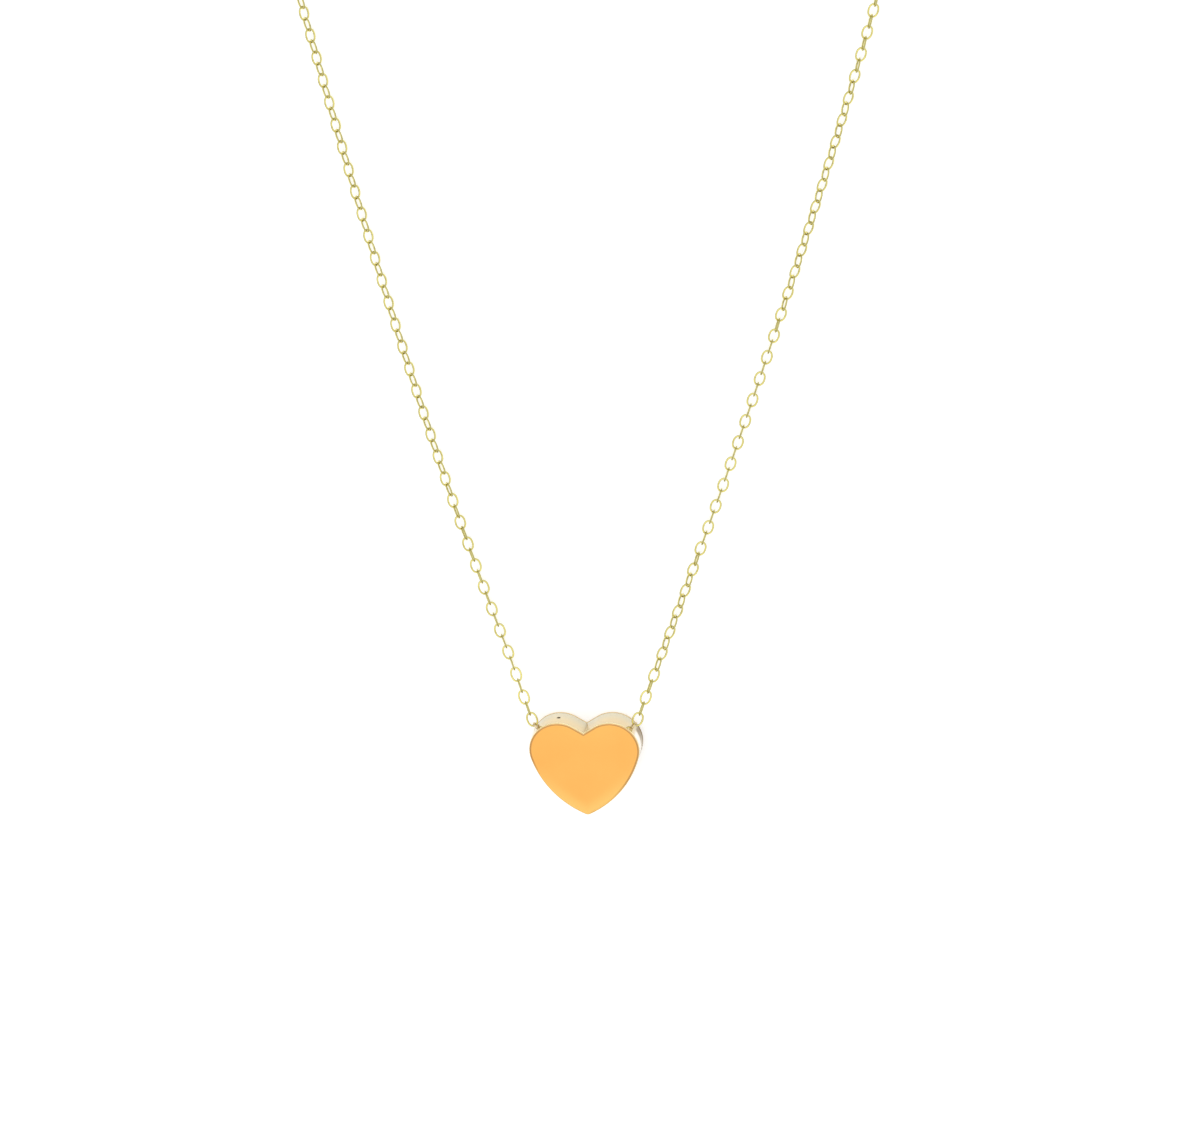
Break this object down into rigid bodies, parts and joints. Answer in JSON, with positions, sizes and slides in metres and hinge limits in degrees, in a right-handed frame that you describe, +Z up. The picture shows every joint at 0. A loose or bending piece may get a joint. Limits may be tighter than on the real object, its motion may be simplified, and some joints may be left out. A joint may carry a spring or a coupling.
{
  "type": "pendant necklace",
  "caption": "Hollow heart pendant soldered from plates and a side band, on a fine oval cable chain with a spring ring clasp and an end ring.",
  "frame": {"origin": "middle of the heart's back face, on the surface that the necklace lies on", "axes": "+Z up out of the heart's front face, +Y from the heart's tip to its notch, +X to the right seen from the front"},
  "size_m": [0.0784, 0.1703, 0.0038],
  "materials": {
    "face_gold": "mirror polished warm gold plating",
    "band_gold": "mirror polished pale gold plating",
    "chain_gold": "bright polished pale gold plating",
    "spring_steel": "drawn spring wire"
  },
  "bodies": {
    "heart": {"heart_front_plate": "face_gold", "heart_back_plate": "face_gold", "heart_band_left": "band_gold", "heart_band_right": "band_gold", "attachment_loop_left": "band_gold", "attachment_loop_right": "band_gold"},
    "left_link_1": {"left_link_1": "chain_gold"},
    "left_link_2": {"left_link_2": "chain_gold"},
    "left_chain_1": {"left_chain_1": "chain_gold"},
    "left_chain_2": {"left_chain_2": "chain_gold"},
    "left_chain_3": {"left_chain_3": "chain_gold"},
    "left_chain_4": {"left_chain_4": "chain_gold"},
    "left_chain_5": {"left_chain_5": "chain_gold"},
    "left_chain_6": {"left_chain_6": "chain_gold"},
    "left_chain_7": {"left_chain_7": "chain_gold"},
    "left_chain_8": {"left_chain_8": "chain_gold"},
    "right_link_1": {"right_link_1": "chain_gold"},
    "right_link_2": {"right_link_2": "chain_gold"},
    "right_chain_1": {"right_chain_1": "chain_gold"},
    "right_chain_2": {"right_chain_2": "chain_gold"},
    "right_chain_3": {"right_chain_3": "chain_gold"},
    "right_chain_4": {"right_chain_4": "chain_gold"},
    "right_chain_5": {"right_chain_5": "chain_gold"},
    "right_chain_6": {"right_chain_6": "chain_gold"},
    "right_chain_7": {"right_chain_7": "chain_gold"},
    "right_chain_8": {"right_chain_8": "chain_gold"},
    "clasp_jump_ring": {"clasp_jump_ring": "chain_gold"},
    "clasp": {"clasp_ring_tube": "chain_gold", "clasp_eye": "chain_gold", "clasp_spring": "spring_steel"},
    "clasp_bolt": {"clasp_bolt": "chain_gold", "clasp_thumb_tab": "chain_gold"},
    "end_jump_ring": {"end_jump_ring": "chain_gold"},
    "end_ring": {"end_ring": "chain_gold"}
  },
  "joints": [
    {"name": "left_link_1_swing", "type": "hinge", "parent": "heart", "child": "left_link_1", "pos_m": [-0.00621, 0.00516, 0.00193], "axis": [0, 0, 1], "range_deg": [0, 60]},
    {"name": "left_link_2_lift", "type": "hinge", "parent": "left_link_1", "child": "left_link_2", "pos_m": [-0.00665, 0.00652, 0.00185], "axis": [0.9433, 0.2976, -0.1469], "range_deg": [0, 50]},
    {"name": "left_chain_1_swing", "type": "hinge", "parent": "left_link_2", "child": "left_chain_1", "pos_m": [-0.00709, 0.0079, 0.00166], "axis": [0, 0, 1], "range_deg": [0, 45]},
    {"name": "left_chain_2_lift", "type": "hinge", "parent": "left_chain_1", "child": "left_chain_2", "pos_m": [-0.01365, 0.02997, 0.0007], "axis": [0.8718, 0.2385, -0.428], "range_deg": [0, 45]},
    {"name": "left_chain_3_lift", "type": "hinge", "parent": "left_chain_2", "child": "left_chain_3", "pos_m": [-0.01948, 0.05286, 0.0007], "axis": [0.6505, 0.1568, 0.7431], "range_deg": [0, 40]},
    {"name": "left_chain_4_lift", "type": "hinge", "parent": "left_chain_3", "child": "left_chain_4", "pos_m": [-0.02465, 0.07537, 0.0007], "axis": [0.726, 0.1585, -0.6691], "range_deg": [0, 35]},
    {"name": "left_chain_5_lift", "type": "hinge", "parent": "left_chain_4", "child": "left_chain_5", "pos_m": [-0.02953, 0.09848, 0.0007], "axis": [0.6554, 0.1347, 0.7431], "range_deg": [0, 40]},
    {"name": "left_chain_6_lift", "type": "hinge", "parent": "left_chain_5", "child": "left_chain_6", "pos_m": [-0.03348, 0.12123, 0.0007], "axis": [0.7475, 0.0669, -0.6609], "range_deg": [0, 35]},
    {"name": "left_chain_7_swing", "type": "hinge", "parent": "left_chain_6", "child": "left_chain_7", "pos_m": [-0.02987, 0.14424, 0.0007], "axis": [0, 0, 1], "range_deg": [-15, 45]},
    {"name": "left_chain_8_lift", "type": "hinge", "parent": "left_chain_7", "child": "left_chain_8", "pos_m": [-0.01241, 0.15852, 0.0007], "axis": [0.3038, -0.9527, 0], "range_deg": [0, 50]},
    {"name": "clasp_jump_ring_lift", "type": "hinge", "parent": "left_chain_8", "child": "clasp_jump_ring", "pos_m": [0.00944, 0.16153, 0.00096], "axis": [0.0167, -0.9999, 0], "range_deg": [0, 80]},
    {"name": "clasp_swing", "type": "hinge", "parent": "clasp_jump_ring", "child": "clasp", "pos_m": [0.01077, 0.16155, 0.00096], "axis": [0, 0, 1], "range_deg": [-60, 60]},
    {"name": "clasp_bolt_draw", "type": "hinge", "parent": "clasp", "child": "clasp_bolt", "pos_m": [0.01439, 0.16159, 0.00096], "axis": [0, 0, -1], "range_deg": [0, 50], "stiffness_Nm_per_rad": 0.0015, "deforming": ["clasp_spring"]},
    {"name": "right_link_1_swing", "type": "hinge", "parent": "heart", "child": "right_link_1", "pos_m": [0.00621, 0.00516, 0.00193], "axis": [0, 0, -1], "range_deg": [0, 60]},
    {"name": "right_link_2_lift", "type": "hinge", "parent": "right_link_1", "child": "right_link_2", "pos_m": [0.00675, 0.00649, 0.00185], "axis": [0.9224, -0.3768, -0.0849], "range_deg": [0, 50]},
    {"name": "right_chain_1_swing", "type": "hinge", "parent": "right_link_2", "child": "right_chain_1", "pos_m": [0.00729, 0.00783, 0.00166], "axis": [0, 0, -1], "range_deg": [0, 45]},
    {"name": "right_chain_2_lift", "type": "hinge", "parent": "right_chain_1", "child": "right_chain_2", "pos_m": [0.01577, 0.02923, 0.0007], "axis": [0.9326, -0.3608, 0], "range_deg": [0, 45]},
    {"name": "right_chain_3_swing", "type": "hinge", "parent": "right_chain_2", "child": "right_chain_3", "pos_m": [0.02408, 0.05134, 0.0007], "axis": [0, 0, -1], "range_deg": [0, 40]},
    {"name": "right_chain_4_lift", "type": "hinge", "parent": "right_chain_3", "child": "right_chain_4", "pos_m": [0.03177, 0.07313, 0.0007], "axis": [0.7553, -0.2573, -0.6027], "range_deg": [0, 40]},
    {"name": "right_chain_5_lift", "type": "hinge", "parent": "right_chain_4", "child": "right_chain_5", "pos_m": [0.03911, 0.09557, 0.0007], "axis": [0.1989, -0.0621, 0.978], "range_deg": [0, 25]},
    {"name": "right_chain_6_lift", "type": "hinge", "parent": "right_chain_5", "child": "right_chain_6", "pos_m": [0.04337, 0.11816, 0.0007], "axis": [0.9929, 0.1039, -0.0583], "range_deg": [0, 40]},
    {"name": "right_chain_7_swing", "type": "hinge", "parent": "right_chain_6", "child": "right_chain_7", "pos_m": [0.03158, 0.13755, 0.0007], "axis": [0, 0, -1], "range_deg": [-40, 15]},
    {"name": "right_chain_8_lift", "type": "hinge", "parent": "right_chain_7", "child": "right_chain_8", "pos_m": [0.00912, 0.14088, 0.0007], "axis": [-0.1248, 0.9922, 0], "range_deg": [0, 50]},
    {"name": "end_jump_ring_lift", "type": "hinge", "parent": "right_chain_8", "child": "end_jump_ring", "pos_m": [-0.0126, 0.13656, 0.00096], "axis": [-0.2338, 0.9723, 0], "range_deg": [0, 80]},
    {"name": "end_ring_swing", "type": "hinge", "parent": "end_jump_ring", "child": "end_ring", "pos_m": [-0.01389, 0.13624, 0.00096], "axis": [0, 0, 1], "range_deg": [-45, 45]}
  ]
}
